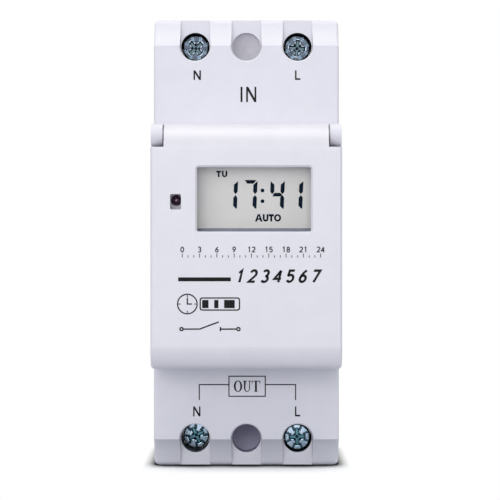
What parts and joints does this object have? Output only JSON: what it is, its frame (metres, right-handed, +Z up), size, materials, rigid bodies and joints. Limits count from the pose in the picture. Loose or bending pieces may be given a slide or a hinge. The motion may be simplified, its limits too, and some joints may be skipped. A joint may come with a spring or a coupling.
{
  "type": "din rail timer switch",
  "caption": "Two-module timer switch for a 35 mm rail, with a display and keys under a hinged cover and screw terminals at both ends.",
  "frame": {"origin": "rail centre line, in the plane of the front faces of the rail's flanges", "axes": "+X to the right seen from the front, +Y from the front panel towards the rail, +Z up"},
  "size_m": [0.036, 0.066, 0.0872],
  "materials": {
    "housing_plastic": "fine satin moulding, cool light grey",
    "cover_plastic": "smooth satin moulding, cool light grey",
    "clip_plastic": "satin moulding, mid grey",
    "key_plastic": "satin moulding, slate grey",
    "white_plastic": "satin moulding, white",
    "clear_plastic": "clear, polished",
    "polariser_film": "neutral grey film",
    "display_glass": "clear, polished",
    "reflector_foil": "satin foil",
    "contact_rubber": "soft, matt",
    "keypad_rubber": "soft, matt",
    "red_lamp": "tinted epoxy, glossy",
    "zinc_steel": "blue-bright zinc plate",
    "plated_steel": "nickel plate",
    "spring_steel": "bright wire",
    "copper_strip": "punched copper strip",
    "copper_wire": "enamelled copper wire",
    "spring_bronze": "rolled bronze strip",
    "relay_iron": "plated soft iron",
    "relay_plastic": "moulded, black",
    "relay_cover_plastic": "moulded, blue",
    "circuit_board": "green solder resist",
    "epoxy": "black moulding compound",
    "crystal_can": "drawn nickel-silver can",
    "battery_steel": "nickel-plated steel",
    "ribbon_insulation": "grey cable insulation",
    "capacitor_case": "moulded, yellow",
    "capacitor_sleeve": "shrink sleeve, black",
    "varistor_coating": "dipped coating, blue",
    "resistor_lacquer": "lacquer, blue-grey"
  },
  "bodies": {
    "case": {"base_housing": "housing_plastic", "front_housing": "housing_plastic", "case_screws": "zinc_steel", "din_clip_spring": "spring_steel", "lcd_window": "clear_plastic", "lcd_polariser": "polariser_film", "lcd_front_glass": "display_glass", "lcd_rear_glass": "display_glass", "lcd_reflector": "reflector_foil", "lcd_holder": "white_plastic", "zebra_strips": "contact_rubber", "led": "red_lamp", "keypad_sheet": "keypad_rubber", "control_board": "circuit_board", "board_screws": "zinc_steel", "controller_blob": "epoxy", "quartz_crystal": "crystal_can", "backup_battery": "battery_steel", "ribbon_cable": "ribbon_insulation", "power_board": "circuit_board", "mains_capacitor": "capacitor_case", "smoothing_capacitor": "capacitor_sleeve", "surge_varistor": "varistor_coating", "rectifier_diodes": "epoxy", "dropper_resistors": "resistor_lacquer", "relay_base": "relay_plastic", "relay_cover": "relay_cover_plastic", "relay_bobbin": "relay_plastic", "relay_winding": "copper_wire", "relay_core": "relay_iron", "relay_yoke": "relay_iron", "relay_fixed_contact": "spring_bronze", "line_in_bar": "copper_strip", "line_out_bar": "copper_strip", "neutral_bar": "copper_strip", "in_n_cage": "plated_steel", "in_l_cage": "plated_steel", "out_n_cage": "plated_steel", "out_l_cage": "plated_steel"},
    "cover": {"flip_cover": "cover_plastic"},
    "rail_clip": {"din_clip": "clip_plastic"},
    "relay_flap": {"relay_armature": "relay_iron", "relay_contact_arm": "spring_bronze"},
    "key_program": {"key_program": "key_plastic"},
    "key_day": {"key_day": "key_plastic"},
    "key_hour": {"key_hour": "key_plastic"},
    "key_minute": {"key_minute": "key_plastic"},
    "key_clock": {"key_clock": "key_plastic"},
    "key_manual": {"key_manual": "key_plastic"},
    "key_clear": {"key_clear": "key_plastic"},
    "key_reset": {"key_reset": "key_plastic"},
    "in_n_clamp": {"in_n_plate": "plated_steel"},
    "in_n_screw": {"in_n_screw": "zinc_steel"},
    "in_l_clamp": {"in_l_plate": "plated_steel"},
    "in_l_screw": {"in_l_screw": "zinc_steel"},
    "out_n_clamp": {"out_n_plate": "plated_steel"},
    "out_n_screw": {"out_n_screw": "zinc_steel"},
    "out_l_clamp": {"out_l_plate": "plated_steel"},
    "out_l_screw": {"out_l_screw": "zinc_steel"}
  },
  "joints": [
    {"name": "cover_hinge", "type": "hinge", "parent": "case", "child": "cover", "pos_m": [0, -0.0577, 0.0203], "axis": [-1, 0, 0], "range_deg": [0, 120]},
    {"name": "rail_clip_slide", "type": "slide", "parent": "case", "child": "rail_clip", "axis": [0, 0, -1], "range_m": [0, 0.005], "stiffness_N_per_m": 600, "springref_m": -0.004, "deforming": ["din_clip_spring"]},
    {"name": "key_program_press", "type": "slide", "parent": "case", "child": "key_program", "axis": [0, 1, 0], "range_m": [0, 0.0006], "stiffness_N_per_m": 400, "springref_m": -0.0003},
    {"name": "key_day_press", "type": "slide", "parent": "case", "child": "key_day", "axis": [0, 1, 0], "range_m": [0, 0.0006], "stiffness_N_per_m": 400, "springref_m": -0.0003},
    {"name": "key_hour_press", "type": "slide", "parent": "case", "child": "key_hour", "axis": [0, 1, 0], "range_m": [0, 0.0006], "stiffness_N_per_m": 400, "springref_m": -0.0003},
    {"name": "key_minute_press", "type": "slide", "parent": "case", "child": "key_minute", "axis": [0, 1, 0], "range_m": [0, 0.0006], "stiffness_N_per_m": 400, "springref_m": -0.0003},
    {"name": "key_clock_press", "type": "slide", "parent": "case", "child": "key_clock", "axis": [0, 1, 0], "range_m": [0, 0.0006], "stiffness_N_per_m": 400, "springref_m": -0.0003},
    {"name": "key_manual_press", "type": "slide", "parent": "case", "child": "key_manual", "axis": [0, 1, 0], "range_m": [0, 0.0006], "stiffness_N_per_m": 400, "springref_m": -0.0003},
    {"name": "key_clear_press", "type": "slide", "parent": "case", "child": "key_clear", "axis": [0, 1, 0], "range_m": [0, 0.0006], "stiffness_N_per_m": 400, "springref_m": -0.0003},
    {"name": "key_reset_press", "type": "slide", "parent": "case", "child": "key_reset", "axis": [0, 1, 0], "range_m": [0, 0.0006], "stiffness_N_per_m": 400, "springref_m": -0.0003},
    {"name": "relay_flap_hinge", "type": "hinge", "parent": "case", "child": "relay_flap", "pos_m": [0.0079, -0.0207, -0.00115], "axis": [-1, 0, 0], "range_deg": [0, 4], "stiffness_Nm_per_rad": 0.002, "springref_deg": -17.19},
    {"name": "in_n_clamp_slide", "type": "slide", "parent": "case", "child": "in_n_clamp", "axis": [0, 1, 0], "range_m": [0, 0.005]},
    {"name": "in_n_screw_turn", "type": "hinge", "parent": "in_n_clamp", "child": "in_n_screw", "pos_m": [-0.01, -0.034, 0.03835], "axis": [0, 1, 0], "range_deg": [0, 2571.5]},
    {"name": "in_l_clamp_slide", "type": "slide", "parent": "case", "child": "in_l_clamp", "axis": [0, 1, 0], "range_m": [0, 0.005]},
    {"name": "in_l_screw_turn", "type": "hinge", "parent": "in_l_clamp", "child": "in_l_screw", "pos_m": [0.01, -0.034, 0.03835], "axis": [0, 1, 0], "range_deg": [0, 2571.5]},
    {"name": "out_n_clamp_slide", "type": "slide", "parent": "case", "child": "out_n_clamp", "axis": [0, 1, 0], "range_m": [-0.0045, 0.0005]},
    {"name": "out_n_screw_turn", "type": "hinge", "parent": "out_n_clamp", "child": "out_n_screw", "pos_m": [-0.01, -0.034, -0.03835], "axis": [0, 1, 0], "range_deg": [-2314.3, 257.2]},
    {"name": "out_l_clamp_slide", "type": "slide", "parent": "case", "child": "out_l_clamp", "axis": [0, 1, 0], "range_m": [0, 0.005]},
    {"name": "out_l_screw_turn", "type": "hinge", "parent": "out_l_clamp", "child": "out_l_screw", "pos_m": [0.01, -0.034, -0.03835], "axis": [0, 1, 0], "range_deg": [0, 2571.5]}
  ],
  "couplings": [
    {"joint": "in_n_screw_turn", "follows": "in_n_clamp_slide", "rad_per_m": 8976},
    {"joint": "in_l_screw_turn", "follows": "in_l_clamp_slide", "rad_per_m": 8976},
    {"joint": "out_n_screw_turn", "follows": "out_n_clamp_slide", "rad_per_m": 8976},
    {"joint": "out_l_screw_turn", "follows": "out_l_clamp_slide", "rad_per_m": 8976}
  ]
}
